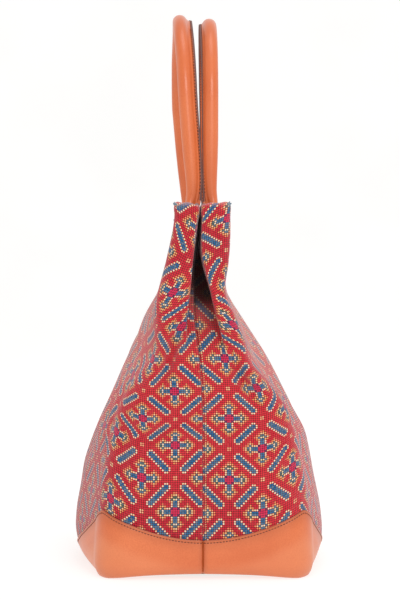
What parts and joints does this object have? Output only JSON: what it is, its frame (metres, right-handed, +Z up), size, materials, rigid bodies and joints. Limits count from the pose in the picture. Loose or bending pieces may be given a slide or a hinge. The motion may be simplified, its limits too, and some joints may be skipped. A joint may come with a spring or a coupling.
{
  "type": "needlepoint tote bag",
  "caption": "Soft tote bag of stitched canvas on a scalloped leather base, with tucked ends, a snap at the mouth and rolled leather handles that fold down.",
  "frame": {"origin": "on the floor, under the middle of the bag", "axes": "+X along the bag's length, +Y towards its back, +Z up"},
  "size_m": [0.34, 0.2322, 0.5107],
  "materials": {
    "needlepoint": "stitched wool on canvas, red ground with a blue, cream and olive lattice",
    "base_leather": "smooth orange tan, satin, stitched at the edge",
    "handle_leather": "smooth orange tan, satin, dark raw edge on the fin",
    "lining_cloth": "plain cotton twill",
    "board": "grey-brown fibre board",
    "cord": "cotton piping cord",
    "snap_metal": "plated, polished"
  },
  "bodies": {
    "bag": {"front_base": "base_leather", "back_base": "base_leather", "front_panel": "needlepoint", "back_panel": "needlepoint", "front_lining": "lining_cloth", "back_lining": "lining_cloth", "base_board": "board", "inner_pocket": "lining_cloth", "front_right_tab": "base_leather", "front_left_tab": "base_leather", "back_right_tab": "base_leather", "back_left_tab": "base_leather", "snap_socket": "snap_metal", "snap_stud": "snap_metal"},
    "front_handle": {"front_handle_cover": "handle_leather", "front_handle_core": "cord"},
    "back_handle": {"back_handle_cover": "handle_leather", "back_handle_core": "cord"}
  },
  "joints": [
    {"name": "front_handle_fold", "type": "hinge", "parent": "bag", "child": "front_handle", "pos_m": [0, -0.0127, 0.3166], "axis": [1, 0, 0], "range_deg": [0, 135]},
    {"name": "back_handle_fold", "type": "hinge", "parent": "bag", "child": "back_handle", "pos_m": [0, 0.0127, 0.3166], "axis": [-1, 0, 0], "range_deg": [0, 135]}
  ]
}
